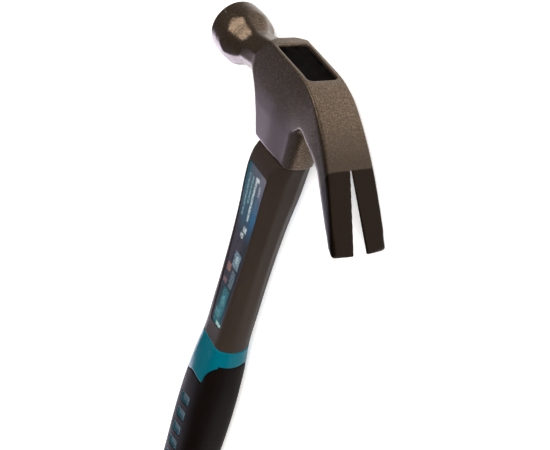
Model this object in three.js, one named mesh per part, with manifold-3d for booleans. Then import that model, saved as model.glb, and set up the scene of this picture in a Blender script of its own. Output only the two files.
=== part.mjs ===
// A claw hammer: a forged head potted with epoxy on a fibreglass core, in a moulded jacket and a two-colour grip.
// It lies on its side: +X points along the handle to the top of the head, +Y to the striking face, and +Z up
// from the table through the cheeks. Every length is in millimetres.
//
// The pieces are drawn about the handle's axis: x is 0 at the top of the head and falls towards the butt,
// y is measured from the axis towards the striking face, and z from the hammer's middle plane.

import * as THREE from "three";
import { mergeVertices } from "three/addons/utils/BufferGeometryUtils.js";
import Module from "manifold-3d";

const wasm = await Module();
wasm.setup();

// Overall sizes
const LENGTH = 330; // top of the head to the butt
const FACE_REACH = 65.5; // handle's axis to the striking face
const CLAW_REACH = 72; // handle's axis to the claw tips
const HALF_WIDTH = 14; // claw tips and grip swell, so that both of them rest on the table
const GAP = 0.3; // between pieces that touch

// Head
const POLL_DROP = 18.5; // top of the head down to the axis of the bell
const FLARE_DROP = 14.5; // and to the axis of the flare where the neck leaves the block
const FLARE_UNTIL = 24; // handle's axis to where the neck's axis starts to drop
const DROPPED_FROM = 48; // and to where it has reached the bell's
const NECK_FLAT = 9.1; // the neck's axis to its eight flats, at the thinnest place
const NECK_AT = 40.5; // handle's axis to the thinnest place
const BELL_RADIUS = 13.9;
const BELL_START = 54; // where the flats have run out into the bell
const BELL_TAPER_FROM = 58; // where it narrows to the face
const FACE_CHAMFER = 1.8;
const BLOCK_HEIGHT = 45.4; // top of the head to the mouth of the eye
const BLOCK_FRONT = 12;
const BLOCK_REAR = 17;
const CHEEK_TOP = 10.1; // half-widths of the eye block
const CHEEK_MIDDLE = 10.4;
const CHEEK_MOUTH = 9.5;
const SLOT_ROOT = 48.25; // handle's axis to the root of the nail slot
const SLOT_ROOT_DROP = 22.1; // top of the head down to that root
const SLOT_ROOT_HALF_GAP = 0.25;
const SLOT_HALF_GAP = 3.7; // at the claw tips
const SLOT_BEVEL = 0.75; // how fast the slot widens towards the underside of the claw
const SLOT_LAND = 0.3; // depth at which it starts to widen
const EYE_FRONT = 16.3; // at the top of the head
const EYE_MOUTH_FRONT = 10.2;
const EYE_REAR = 12.8;
const EYE_HALF_WIDTH = 7.7;
const EYE_CORNER = 2.4;

// Handle
const CORE_HALF_DEPTH = 8.5;
const CORE_HALF_WIDTH = 5.2;
const CORE_CORNER = 3.6;
const CORE_TOP = 4.5; // below the top of the head
const CORE_END = 314;
const POTTING_TOP = 1.6;
const DAM_TOP = 42;
const JACKET_TOP = 46;
const COLLAR_TOP = 169; // where the jacket meets the coloured collar
const JACKET_END = 320;
const SLEEVE_END = 324.5;
const SLEEVE_THICKNESS = 1.3;
const COVER_THICKNESS = 1.6;
const COVER_EDGE_GAP = 1.4; // between the collar and the cover's wavy edge
const STEP_END = 175; // where the jacket has stepped in to make room for the sleeve and the cover
const COVER_TOP_REAR = 179.5; // top edge of the cover at the rear of the handle
const COVER_TOP_SIDE = 196; // on its two sides
const COVER_TOP_FRONT = 202; // and at its front
const REAR_CURVE = [-0.86, -0.44]; // where the edge curves between them, as shares of the half-depth
const FRONT_CURVE = [0.2, 1];
const LABEL_TOP = 57;
const LABEL_BOTTOM = 157.5;
const LABEL_THICKNESS = 0.5;

// Handle outline: distance below the top of the head, half-depth, half-width, and how far its centre lies
// behind the axis. The jacket leaves the eye at the block's own size, then tapers to a waist and swells again.
const JACKET_OUTLINE = [
  [46, 14.1, 9.5, 1.9],
  [51, 14.3, 10.2, 0.7],
  [57, 14.2, 10.8, 0],
  [68, 13.9, 10.6, 0],
  [82, 13.0, 9.9, 0],
  [100, 12.35, 9.4, 0],
  [125, 12.2, 9.3, 0],
  [146, 12.6, 9.65, 0],
  [169, 13.3, 10.15, 0],
];
const GRIP_OUTLINE = [
  [169, 13.3, 10.15, 0],
  [180, 14.3, 11.4, 0],
  [190, 15.2, 12.4, 0],
  [205, 16.2, 13.4, 0],
  [222, 16.7, 13.9, 0],
  [240, 16.8, 14, 0],
  [264, 16.4, 13.8, 0],
  [285, 16.3, 13.6, 0],
  [305, 17.0, 13.8, 0],
  [320, 18, 14, 0],
  [327, 17.4, 13.3, 0],
  [330, 15.5, 11.4, 0],
];
const FACET_DEPTH = 0.31; // share of the half-depth and of the half-width that the eight-sided
const FACET_WIDTH = 0.66; // section's corners cut away
const GRIP_ROUNDNESS = 2.6; // exponent of the grip's rounded section
const ROUND_FROM = 169; // the facets fade into that section between these distances
const ROUND_TO = 205;
const POINTS_PER_FACET = 4;

// --- solids ---------------------------------------------------------------------------------------------

function solid(geometry) {
  const bare = geometry.index ? geometry.toNonIndexed() : geometry.clone();
  bare.deleteAttribute("normal");
  bare.deleteAttribute("uv");
  const merged = mergeVertices(bare, 1e-4);
  return new wasm.Manifold(
    new wasm.Mesh({
      numProp: 3,
      vertProperties: merged.attributes.position.array,
      triVerts: new Uint32Array(merged.index.array),
    }),
  );
}

function geometryOf(shape) {
  const { vertProperties, triVerts } = shape.getMesh();
  const geometry = new THREE.BufferGeometry();
  geometry.setAttribute("position", new THREE.BufferAttribute(vertProperties, 3));
  geometry.setIndex(new THREE.BufferAttribute(triVerts, 1));
  return geometry;
}

function extruded(shape, depth, curveSegments = 12) {
  const geometry = new THREE.ExtrudeGeometry(shape, { depth, bevelEnabled: false, curveSegments });
  return geometry.translate(0, 0, -depth / 2);
}

const X = new THREE.Vector3(1, 0, 0);
const Y = new THREE.Vector3(0, 1, 0);
const Z = new THREE.Vector3(0, 0, 1);

// An outline drawn in (y, z), extruded along x.
function extrudedAlongHandle(shape, depth, curveSegments) {
  return extruded(shape, depth, curveSegments).applyMatrix4(new THREE.Matrix4().makeBasis(Y, Z, X));
}

// An outline drawn in (z, x), extruded along y.
function extrudedAlongHead(shape, depth, curveSegments) {
  return extruded(shape, depth, curveSegments).applyMatrix4(new THREE.Matrix4().makeBasis(Z, X, Y));
}

function polygon(points) {
  return new THREE.Shape(points.map(([a, b]) => new THREE.Vector2(a, b)));
}

// A closed skin through rings that run from the head to the butt, each with the same number of points, with a
// fan over both ends.
function loft(rings) {
  const count = rings[0].length;
  const points = rings.flat();
  const faces = [];
  for (let r = 0; r + 1 < rings.length; r += 1) {
    for (let i = 0; i < count; i += 1) {
      const a = r * count + i;
      const b = r * count + ((i + 1) % count);
      faces.push(a, a + count, b, b, a + count, b + count);
    }
  }
  for (const ring of [0, rings.length - 1]) {
    const centre = points.length;
    points.push(rings[ring].reduce((sum, p) => sum.add(p), new THREE.Vector3()).divideScalar(count));
    for (let i = 0; i < count; i += 1) {
      const a = ring * count + i;
      const b = ring * count + ((i + 1) % count);
      faces.push(centre, ring === 0 ? a : b, ring === 0 ? b : a);
    }
  }
  const geometry = new THREE.BufferGeometry().setFromPoints(points);
  geometry.setIndex(faces);
  return geometry;
}

// --- head -----------------------------------------------------------------------------------------------

// The head seen from the side, in (x, y): eye block and claw.
function headSide() {
  const side = new THREE.Shape();
  side.moveTo(0, BLOCK_FRONT);
  side.lineTo(-BLOCK_HEIGHT, BLOCK_FRONT);
  side.lineTo(-BLOCK_HEIGHT, -BLOCK_REAR - 0.4);
  side.lineTo(-27.5, -BLOCK_REAR - 1.2);
  side.bezierCurveTo(-22.5, -17.6, -18.4, -18.6, -21.9, -25.3);
  side.quadraticCurveTo(-23.6, -31.5, -28, -40.4);
  side.lineTo(-49.6, -64.6);
  side.lineTo(-51.4, -CLAW_REACH + 2.6);
  side.lineTo(-49.2, -CLAW_REACH);
  side.bezierCurveTo(-18.5, -48.5, 0, -28, 0, -8);
  side.closePath();
  return side;
}

// The head seen from above, in (y, z): straight cheeks, a rounded rear below the claw, and a flaring claw.
function blockPlan() {
  const plan = new THREE.Shape();
  const shoulder = -BLOCK_REAR + 3.6;
  plan.moveTo(BLOCK_FRONT, -HALF_WIDTH);
  plan.lineTo(BLOCK_FRONT, HALF_WIDTH);
  plan.lineTo(shoulder + 2, HALF_WIDTH);
  plan.lineTo(shoulder, CHEEK_MOUTH - 0.8);
  plan.quadraticCurveTo(-BLOCK_REAR, 5.5, -BLOCK_REAR - 0.2, 0);
  plan.quadraticCurveTo(-BLOCK_REAR, -5.5, shoulder, -CHEEK_MOUTH + 0.8);
  plan.lineTo(shoulder + 2, -HALF_WIDTH);
  plan.closePath();
  return plan;
}

function clawPlan() {
  const plan = new THREE.Shape();
  const root = -6;
  const rootHalf = CHEEK_TOP;
  const setBack = 1.7; // the outer corners of the tips stand back from the inner ones
  plan.moveTo(root, -rootHalf);
  plan.lineTo(root, rootHalf);
  plan.quadraticCurveTo(-42, rootHalf + 1.1, -CLAW_REACH + setBack, HALF_WIDTH);
  plan.lineTo(-CLAW_REACH, SLOT_HALF_GAP);
  plan.lineTo(-CLAW_REACH, -SLOT_HALF_GAP);
  plan.lineTo(-CLAW_REACH + setBack, -HALF_WIDTH);
  plan.quadraticCurveTo(-42, -rootHalf - 1.1, root, -rootHalf);
  plan.closePath();
  return plan;
}

// The cheeks seen along the head, in (z, x).
function cheekFront() {
  const half = [
    [CHEEK_MOUTH, -BLOCK_HEIGHT],
    [CHEEK_MIDDLE, -24],
    [CHEEK_MIDDLE, -8],
    [CHEEK_TOP, 0],
  ];
  return polygon([...half, ...half.map(([z, x]) => [-z, x]).reverse()]);
}

// Flare out of the block, neck, bell and chamfered face. The flare and the neck have eight flats, which run out
// into the round bell. The centres drop from the flare's axis to the bell's.
function poll() {
  const start = BLOCK_FRONT - 6;
  const outline = new THREE.Path();
  outline.moveTo(31, start);
  outline.lineTo(31, BLOCK_FRONT);
  outline.bezierCurveTo(19.5, 15.2, 14, 22.2, 10.4, 27.2);
  outline.bezierCurveTo(9.8, 28.8, 9.5, 33.5, NECK_FLAT, NECK_AT);
  outline.bezierCurveTo(NECK_FLAT - 0.2, 43.4, 11.2, 46, 12.6, 49.4);
  outline.quadraticCurveTo(13.5, 51.7, BELL_RADIUS, BELL_START);
  outline.lineTo(BELL_RADIUS, BELL_TAPER_FROM);
  outline.lineTo(BELL_RADIUS - 0.4, FACE_REACH - FACE_CHAMFER);
  outline.lineTo(BELL_RADIUS - 0.4 - FACE_CHAMFER, FACE_REACH);
  const rings = outline.getPoints(8).map(({ x: radius, y: reach }) => pollRing(radius, reach));
  const trimEnd = 32.5; // the cheeks' own planes cut the flare off up to here
  const block = extrudedAlongHead(cheekFront(), 2 * trimEnd);
  const beyond = new THREE.BoxGeometry(100, 100, 100).translate(0, trimEnd + 50, 0);
  return solid(loft(rings)).intersect(solid(block).add(solid(beyond)));
}

function pollRing(radius, reach) {
  const sides = 40;
  const flatAngle = Math.PI / 4;
  const share = THREE.MathUtils.smoothstep(reach, FLARE_UNTIL, DROPPED_FROM);
  const drop = THREE.MathUtils.lerp(FLARE_DROP, POLL_DROP, share);
  return Array.from({ length: sides }, (_, i) => {
    const angle = (2 * Math.PI * i) / sides - flatAngle / 2;
    const fromFlat = angle - flatAngle * Math.round(angle / flatAngle);
    const onFlat = radius / Math.cos(fromFlat);
    let distance = radius;
    if (reach < BELL_START) distance = reach < NECK_AT ? onFlat : Math.min(onFlat, BELL_RADIUS);
    return new THREE.Vector3(distance * Math.cos(angle) - drop, reach, distance * Math.sin(angle));
  });
}

// The V-shaped nail slot. Its sides are upright through the crown of the claw and widen below it, so that a
// nail's head finds a sharp edge.
function nailSlot() {
  const along = new THREE.Vector3(-28.9, -24.25, 0); // root to tips, along the crown
  const crown = new THREE.Vector3(-SLOT_ROOT_DROP, -SLOT_ROOT, 0); // the root of the slot on the crown
  const inward = new THREE.Vector3(-along.y, along.x, 0).normalize().negate();
  const outline = (depth, widening) =>
    [
      [0, -SLOT_ROOT_HALF_GAP],
      [0, SLOT_ROOT_HALF_GAP],
      [1, SLOT_HALF_GAP],
      [1, -SLOT_HALF_GAP],
    ].map(([share, z]) => {
      const point = crown.clone().addScaledVector(along, share * 1.05).addScaledVector(inward, depth);
      return point.setZ(z + Math.sign(z) * widening);
    });
  const below = 15;
  const upright = loft([outline(-6, 0), outline(below, 0)]);
  const bevelled = loft([outline(SLOT_LAND, 0), outline(below, (below - SLOT_LAND) * SLOT_BEVEL)]);
  return solid(upright).add(solid(bevelled));
}

// Cross-section of the eye, of what fills it, or of the core, in (y, z).
function roundedSlot(front, rear, halfWidth, corner) {
  const slot = new THREE.Shape();
  slot.moveTo(-rear + corner, -halfWidth);
  slot.lineTo(front - corner, -halfWidth);
  slot.absarc(front - corner, -halfWidth + corner, corner, -Math.PI / 2, 0);
  slot.absarc(front - corner, halfWidth - corner, corner, 0, Math.PI / 2);
  slot.absarc(-rear + corner, halfWidth - corner, corner, Math.PI / 2, Math.PI);
  slot.absarc(-rear + corner, -halfWidth + corner, corner, Math.PI, 1.5 * Math.PI);
  slot.closePath();
  return slot;
}

function prism(shape, top, bottom, curveSegments = 4) {
  return solid(extrudedAlongHandle(shape, bottom - top, curveSegments).translate(-(top + bottom) / 2, 0, 0));
}

// The eye through the head, or a plug for it: its front wall leans back towards the mouth.
function eye(clearance, top, bottom) {
  const rings = [top, bottom].map((distance) => {
    const front = THREE.MathUtils.mapLinear(distance, 0, BLOCK_HEIGHT, EYE_FRONT, EYE_MOUTH_FRONT);
    const shape = roundedSlot(front - clearance, EYE_REAR - clearance, EYE_HALF_WIDTH - clearance, EYE_CORNER);
    const around = shape.getPoints(4).slice(0, -1);
    return around.map(({ x: y, y: z }) => new THREE.Vector3(-distance, y, z));
  });
  return solid(loft(rings));
}

function coreRod(clearance, top, bottom) {
  const depth = CORE_HALF_DEPTH + clearance;
  return prism(roundedSlot(depth, depth, CORE_HALF_WIDTH + clearance, CORE_CORNER + clearance), top, bottom);
}

function hammerHead() {
  const wide = 2 * HALF_WIDTH + 2;
  const side = solid(extruded(headSide(), wide));
  const plan = solid(extrudedAlongHandle(blockPlan(), 2 * LENGTH));
  const block = side.intersect(plan).intersect(solid(extrudedAlongHead(cheekFront(), 60)));
  const claw = side.intersect(solid(extrudedAlongHandle(clawPlan(), 2 * LENGTH)));
  const clawOnly = claw.subtract(prism(roundedSlot(20, BLOCK_REAR + 2, 30, 0.5), 27.5, 60));
  return block.add(clawOnly.subtract(nailSlot())).add(poll()).subtract(eye(0, -5, BLOCK_HEIGHT + 5));
}

// --- handle ---------------------------------------------------------------------------------------------

// The outline's half-depth, half-width and set-back at a distance below the top of the head.
function sizeAt(outline, distance) {
  const last = outline.length - 1;
  let k = 0;
  while (k < last - 1 && outline[k + 1][0] < distance) k += 1;
  const share = THREE.MathUtils.clamp((distance - outline[k][0]) / (outline[k + 1][0] - outline[k][0]), 0, 1);
  return [1, 2, 3].map((i) => THREE.MathUtils.lerp(outline[k][i], outline[k + 1][i], share));
}

// Points around the handle, as shares of its half-depth and half-width: an octagon, and the rounded
// section seen at the same angles.
function sectionPoints() {
  const y = 1 - FACET_DEPTH;
  const z = 1 - FACET_WIDTH;
  const corners = [
    [1, -z],
    [1, z],
    [y, 1],
    [-y, 1],
    [-1, z],
    [-1, -z],
    [-y, -1],
    [y, -1],
  ];
  const points = [];
  corners.forEach(([y0, z0], c) => {
    const [y1, z1] = corners[(c + 1) % corners.length];
    for (let i = 0; i < POINTS_PER_FACET; i += 1) {
      const t = i / POINTS_PER_FACET;
      const flat = new THREE.Vector2(y0 + t * (y1 - y0), z0 + t * (z1 - z0));
      const powers = Math.abs(flat.x) ** GRIP_ROUNDNESS + Math.abs(flat.y) ** GRIP_ROUNDNESS;
      const size = powers ** (1 / GRIP_ROUNDNESS);
      points.push({ flat, round: flat.clone().divideScalar(size) });
    }
  });
  return points;
}

const SECTION = sectionPoints();

// One point of the handle's surface, moved in by inset.
function handlePoint(section, outline, distance, inset) {
  const [depth, width, setBack] = sizeAt(outline, distance);
  const roundness = THREE.MathUtils.smoothstep(distance, ROUND_FROM, ROUND_TO);
  const share = section.flat.clone().lerp(section.round, roundness);
  return new THREE.Vector3(-distance, share.x * (depth - inset) - setBack, share.y * (width - inset));
}

function handleRing(outline, distance, inset) {
  return SECTION.map((section) => handlePoint(section, outline, distance, inset));
}

// A ring that follows a wavy edge: distanceOf gives its distance at each point of the section.
function wavyRing(distanceOf, inset) {
  return SECTION.map((section) => handlePoint(section, GRIP_OUTLINE, distanceOf(section), inset));
}

// The cover's top edge stands highest at the rear and curves down over the sides to the front.
function coverEdge(section) {
  const side = THREE.MathUtils.smoothstep(section.flat.x, ...REAR_CURVE);
  const front = THREE.MathUtils.smoothstep(section.flat.x, ...FRONT_CURVE);
  const overSide = THREE.MathUtils.lerp(COVER_TOP_REAR, COVER_TOP_SIDE, side);
  return overSide + front * (COVER_TOP_FRONT - COVER_TOP_SIDE);
}

function distancesOf(outline, from, to) {
  const inner = outline.map(([distance]) => distance).filter((d) => d > from + 1 && d < to - 1);
  return [from, ...inner, to];
}

function labelHalfWidth(distance) {
  return THREE.MathUtils.mapLinear(distance, LABEL_TOP, LABEL_BOTTOM, 8.6, 5);
}

// A plate that follows the flat side of the jacket, between two depths below its surface.
function labelPlate(deep, shallow, margin) {
  const rings = distancesOf(JACKET_OUTLINE, LABEL_TOP - margin, LABEL_BOTTOM + margin).map((d) => {
    const half = labelHalfWidth(d) + margin;
    const surface = sizeAt(JACKET_OUTLINE, d)[1];
    return [
      new THREE.Vector3(-d, half, surface - deep),
      new THREE.Vector3(-d, half, surface - shallow),
      new THREE.Vector3(-d, -half, surface - shallow),
      new THREE.Vector3(-d, -half, surface - deep),
    ];
  });
  return solid(loft(rings));
}

// The sticker lies in a recess; side is 1 for the upper face and -1 for the lower one.
function label(side) {
  const plate = labelPlate(GAP + LABEL_THICKNESS, GAP, 0);
  return side > 0 ? plate : plate.mirror([0, 0, 1]);
}

function jacket() {
  const step = SLEEVE_THICKNESS + GAP;
  const layers = step + COVER_THICKNESS + GAP;
  const under = distancesOf(GRIP_OUTLINE, STEP_END, JACKET_END).map((d) => handleRing(GRIP_OUTLINE, d, layers));
  const shaft = distancesOf(JACKET_OUTLINE, JACKET_TOP, COLLAR_TOP).map((d) => handleRing(JACKET_OUTLINE, d, 0));
  const skin = solid(loft([...shaft, handleRing(GRIP_OUTLINE, COLLAR_TOP, step), ...under]));
  const recess = labelPlate(2 * GAP + LABEL_THICKNESS, -3, 0.4);
  return skin
    .subtract(coreRod(GAP, JACKET_TOP - 5, CORE_END + GAP))
    .subtract(recess)
    .subtract(recess.mirror([0, 0, 1]));
}

// Slanted bars that stand up from the sleeve through windows in the cover, on both sides of the grip.
const BAR_COUNT = 7;
const BAR_FIRST = 212;
const BAR_PITCH = 12.5;
const BAR_LENGTH = 7.5;
const BAR_HALF_WIDTH = 4.8;
const BAR_CENTRE = 2;
const BAR_SLANT = 3;

function bars(margin, inset) {
  const rows = distancesOf(GRIP_OUTLINE, ROUND_TO, SLEEVE_END);
  const reach = solid(loft(rows.map((d) => handleRing(GRIP_OUTLINE, d, inset))));
  let all = null;
  for (let i = 0; i < BAR_COUNT; i += 1) {
    const top = -(BAR_FIRST + i * BAR_PITCH) + margin;
    const bottom = top - BAR_LENGTH - 2 * margin;
    const low = BAR_CENTRE - BAR_HALF_WIDTH - margin;
    const high = BAR_CENTRE + BAR_HALF_WIDTH + margin;
    const outline = polygon([
      [bottom, low],
      [top, low],
      [top - BAR_SLANT, high],
      [bottom - BAR_SLANT, high],
    ]);
    const bar = solid(extruded(outline, 60));
    all = all ? all.add(bar) : bar;
  }
  return all.intersect(reach);
}

function gripSleeve() {
  const under = COVER_THICKNESS + GAP;
  const wall = under + SLEEVE_THICKNESS;
  const start = COLLAR_TOP + GAP;
  const rows = distancesOf(GRIP_OUTLINE, ROUND_TO, SLEEVE_END);
  const edge = (section) => coverEdge(section) - COVER_EDGE_GAP;
  const between = (share) => (section) => THREE.MathUtils.lerp(start, edge(section), share);
  const bore = distancesOf(GRIP_OUTLINE, STEP_END, JACKET_END + GAP).reverse();
  const rings = [
    ...bore.map((d) => handleRing(GRIP_OUTLINE, d, wall)),
    handleRing(GRIP_OUTLINE, start, SLEEVE_THICKNESS),
    ...[0, 0.35, 0.7, 1].map((share) => wavyRing(between(share), 0)),
    wavyRing(edge, under),
    ...rows.map((d) => handleRing(GRIP_OUTLINE, d, under)),
  ];
  const sleeve = solid(loft(rings));
  const inside = solid(loft(rows.map((d) => handleRing(GRIP_OUTLINE, d, under + 0.5))));
  const raised = bars(0, 0.15).subtract(inside);
  return sleeve.add(raised);
}

function gripCover() {
  const rows = distancesOf(GRIP_OUTLINE, ROUND_TO, LENGTH);
  const inner = distancesOf(GRIP_OUTLINE, ROUND_TO, SLEEVE_END + GAP);
  const rings = [
    ...inner.reverse().map((d) => handleRing(GRIP_OUTLINE, d, COVER_THICKNESS)),
    wavyRing(coverEdge, COVER_THICKNESS),
    wavyRing(coverEdge, 0),
    ...rows.map((d) => handleRing(GRIP_OUTLINE, d, 0)),
  ];
  return solid(loft(rings)).subtract(bars(GAP, -1));
}

// --- the assembly ---------------------------------------------------------------------------------------

const FINISH = {
  powderCoat: { color: 0x5e5349, roughness: 0.45, metalness: 0.5 },
  fibreglass: { color: 0xc9b98a, roughness: 0.5, metalness: 0 },
  epoxy: { color: 0x0d0d0c, roughness: 0.55, metalness: 0 },
  jacket: { color: 0x3a3430, roughness: 0.6, metalness: 0 },
  teal: { color: 0x00707f, roughness: 0.35, metalness: 0 },
  rubber: { color: 0x191615, roughness: 0.75, metalness: 0 },
  label: { color: 0x1f4358, roughness: 0.3, metalness: 0 },
};

const hammer = new THREE.Group();
hammer.position.set(LENGTH / 2, (CLAW_REACH - FACE_REACH) / 2, HALF_WIDTH);

function addPiece(name, shape, finish) {
  const mesh = new THREE.Mesh(geometryOf(shape), new THREE.MeshStandardMaterial(FINISH[finish]));
  mesh.name = name;
  hammer.add(mesh);
}

addPiece("hammer_head", hammerHead(), "powderCoat");
addPiece("fibreglass_core", coreRod(0, CORE_TOP, CORE_END), "fibreglass");
addPiece(
  "epoxy_potting",
  eye(GAP, POTTING_TOP, DAM_TOP - GAP).subtract(coreRod(GAP, CORE_TOP - GAP, LENGTH)),
  "epoxy",
);
addPiece("eye_dam", eye(GAP, DAM_TOP, JACKET_TOP - GAP).subtract(coreRod(GAP, 0, LENGTH)), "rubber");
addPiece("shaft_jacket", jacket(), "jacket");
addPiece("grip_sleeve", gripSleeve(), "teal");
addPiece("grip_cover", gripCover(), "rubber");
addPiece("label_upper", label(1), "label");
addPiece("label_lower", label(-1), "label");

const part = new THREE.Group();
part.add(hammer);

export default part;
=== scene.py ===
import math

import bpy
import numpy as np
from mathutils import Matrix, Vector


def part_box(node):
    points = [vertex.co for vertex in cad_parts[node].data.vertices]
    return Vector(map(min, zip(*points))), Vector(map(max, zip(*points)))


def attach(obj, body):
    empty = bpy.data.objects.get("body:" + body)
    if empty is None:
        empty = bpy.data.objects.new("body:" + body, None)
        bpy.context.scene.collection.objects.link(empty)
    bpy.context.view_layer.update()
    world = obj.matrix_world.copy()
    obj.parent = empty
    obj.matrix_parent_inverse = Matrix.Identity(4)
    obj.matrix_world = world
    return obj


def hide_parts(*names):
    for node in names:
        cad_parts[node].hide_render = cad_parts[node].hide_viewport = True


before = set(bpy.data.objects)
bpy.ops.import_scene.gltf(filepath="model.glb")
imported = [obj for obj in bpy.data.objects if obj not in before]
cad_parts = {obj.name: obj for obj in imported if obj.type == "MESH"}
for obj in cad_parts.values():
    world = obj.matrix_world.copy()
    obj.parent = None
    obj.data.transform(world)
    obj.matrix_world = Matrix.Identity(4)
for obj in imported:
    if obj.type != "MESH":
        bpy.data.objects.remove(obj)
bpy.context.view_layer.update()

# ---------------------------------------------------------------------------------------------------------
# The pieces are drawn in millimetres about the handle's axis, as on a drawing of the hammer: x is 0 at the
# top of the head and falls towards the butt, y runs from the axis towards the striking face, and z from the
# middle plane towards the upper cheek. place() takes them to the CAD frame.
# ---------------------------------------------------------------------------------------------------------

FACE_REACH = 65.5
CLAW_REACH = 72.0
HALF_WIDTH = 14.0
MM = 0.001

head_low, head_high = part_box("hammer_head")
ORIGIN = np.array([head_high.x, head_high.y - FACE_REACH * MM, (head_low.z + head_high.z) / 2])


def place(points):
    return np.asarray(points, float) * MM + ORIGIN


def new_piece(name, points, faces, replaces, material, sharp_angle=35):
    """A mesh object of the hammer, from points in millimetres, that stands for CAD nodes."""
    mesh = bpy.data.meshes.new(name)
    mesh.from_pydata(place(points).tolist(), [], faces)
    mesh.update()
    mesh.shade_smooth()
    mesh.set_sharp_from_angle(angle=math.radians(sharp_angle))
    piece = bpy.data.objects.new(name, mesh)
    bpy.context.scene.collection.objects.link(piece)
    mesh.materials.append(material)
    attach(piece, "root")
    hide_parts(*replaces)
    return piece


# --- solids from distance fields -------------------------------------------------------------------------


def bezier(*controls, count=24):
    """Points along a Bezier curve, without its last one."""
    points = [np.array(c, float)[None, :] for c in controls]
    t = np.linspace(0, 1, count, endpoint=False)[:, None]
    while len(points) > 1:
        points = [a + (b - a) * t for a, b in zip(points, points[1:])]
    return points[0]


def outline(*parts):
    """One list of points, from single points and stretches of curve."""
    return np.vstack([np.atleast_2d(np.array(part, float)) for part in parts])


def polygon_distance(polygon, u, v):
    """Signed distance from the points (u, v) to a closed polygon, negative inside."""
    best = np.full(np.broadcast(u, v).shape, 1e9)
    inside = np.zeros(best.shape, bool)
    for (ax, ay), (bx, by) in zip(polygon, np.roll(polygon, -1, axis=0)):
        ex, ey = bx - ax, by - ay
        length = ex * ex + ey * ey
        if length < 1e-12:
            continue
        t = np.clip(((u - ax) * ex + (v - ay) * ey) / length, 0, 1)
        best = np.minimum(best, (u - ax - t * ex) ** 2 + (v - ay - t * ey) ** 2)
        if ay != by:
            spans = (ay > v) != (by > v)
            inside ^= spans & (u < ax + (v - ay) / (by - ay) * ex)
    return np.where(inside, -1, 1) * np.sqrt(best)


def common(a, b, radius):
    """What two solids share, with its new edge rounded to the radius."""
    u = np.maximum(radius + a, 0)
    v = np.maximum(radius + b, 0)
    return np.minimum(-radius, np.maximum(a, b)) + np.sqrt(u * u + v * v)


def smooth_share(value, start, end):
    """0 at the start, 1 at the end, with an S-curve between them."""
    t = np.clip((value - start) / (end - start), 0, 1)
    return t * t * (3 - 2 * t)


def surface_of(field, lowest, step):
    """The zero surface of a distance field on a grid: points, and quads that face outward."""
    shape = tuple(n - 1 for n in field.shape)
    total = np.zeros(shape + (3,))
    count = np.zeros(shape, int)
    corners = [(i, j, k) for i in (0, 1) for j in (0, 1) for k in (0, 1)]
    pick = {c: field[c[0] : c[0] + shape[0], c[1] : c[1] + shape[1], c[2] : c[2] + shape[2]] for c in corners}
    for a in corners:
        for axis in range(3):
            if a[axis]:
                continue
            b = tuple(1 if n == axis else a[n] for n in range(3))
            crossed = (pick[a] < 0) != (pick[b] < 0)
            share = pick[a][crossed] / (pick[a][crossed] - pick[b][crossed])
            place_on_edge = np.tile(np.array(a, float), (share.size, 1))
            place_on_edge[:, axis] = share
            total[crossed] += place_on_edge
            count[crossed] += 1
    cells = np.argwhere(count > 0)
    index = np.full(shape, -1)
    index[count > 0] = np.arange(len(cells))
    points = (cells + total[count > 0] / count[count > 0][:, None]) * step + np.array(lowest)
    faces = []
    for axis in range(3):
        u, v = (axis + 1) % 3, (axis + 2) % 3
        first = np.moveaxis(field, (axis, u, v), (0, 1, 2))[:-1, 1:-1, 1:-1] < 0
        second = np.moveaxis(field, (axis, u, v), (0, 1, 2))[1:, 1:-1, 1:-1] < 0
        cell = np.moveaxis(index, (axis, u, v), (0, 1, 2))
        quad = np.stack([cell[:, :-1, :-1], cell[:, 1:, :-1], cell[:, 1:, 1:], cell[:, :-1, 1:]], axis=-1)
        faces.append(quad[first & ~second])
        faces.append(quad[~first & second][:, ::-1])
    return points, np.vstack(faces)


def relaxed(points, faces, rounds, amount):
    """Points moved towards the mean of their neighbours."""
    edges = np.vstack([faces[:, [n, (n + 1) % 4]] for n in range(4)])
    degree = np.bincount(edges[:, 0], minlength=len(points))[:, None]
    for _ in range(rounds):
        total = [np.bincount(edges[:, 0], points[edges[:, 1], n], len(points)) for n in range(3)]
        points = points + amount * (np.stack(total, axis=1) / degree - points)
    return points


# --- node materials --------------------------------------------------------------------------------------


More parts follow.
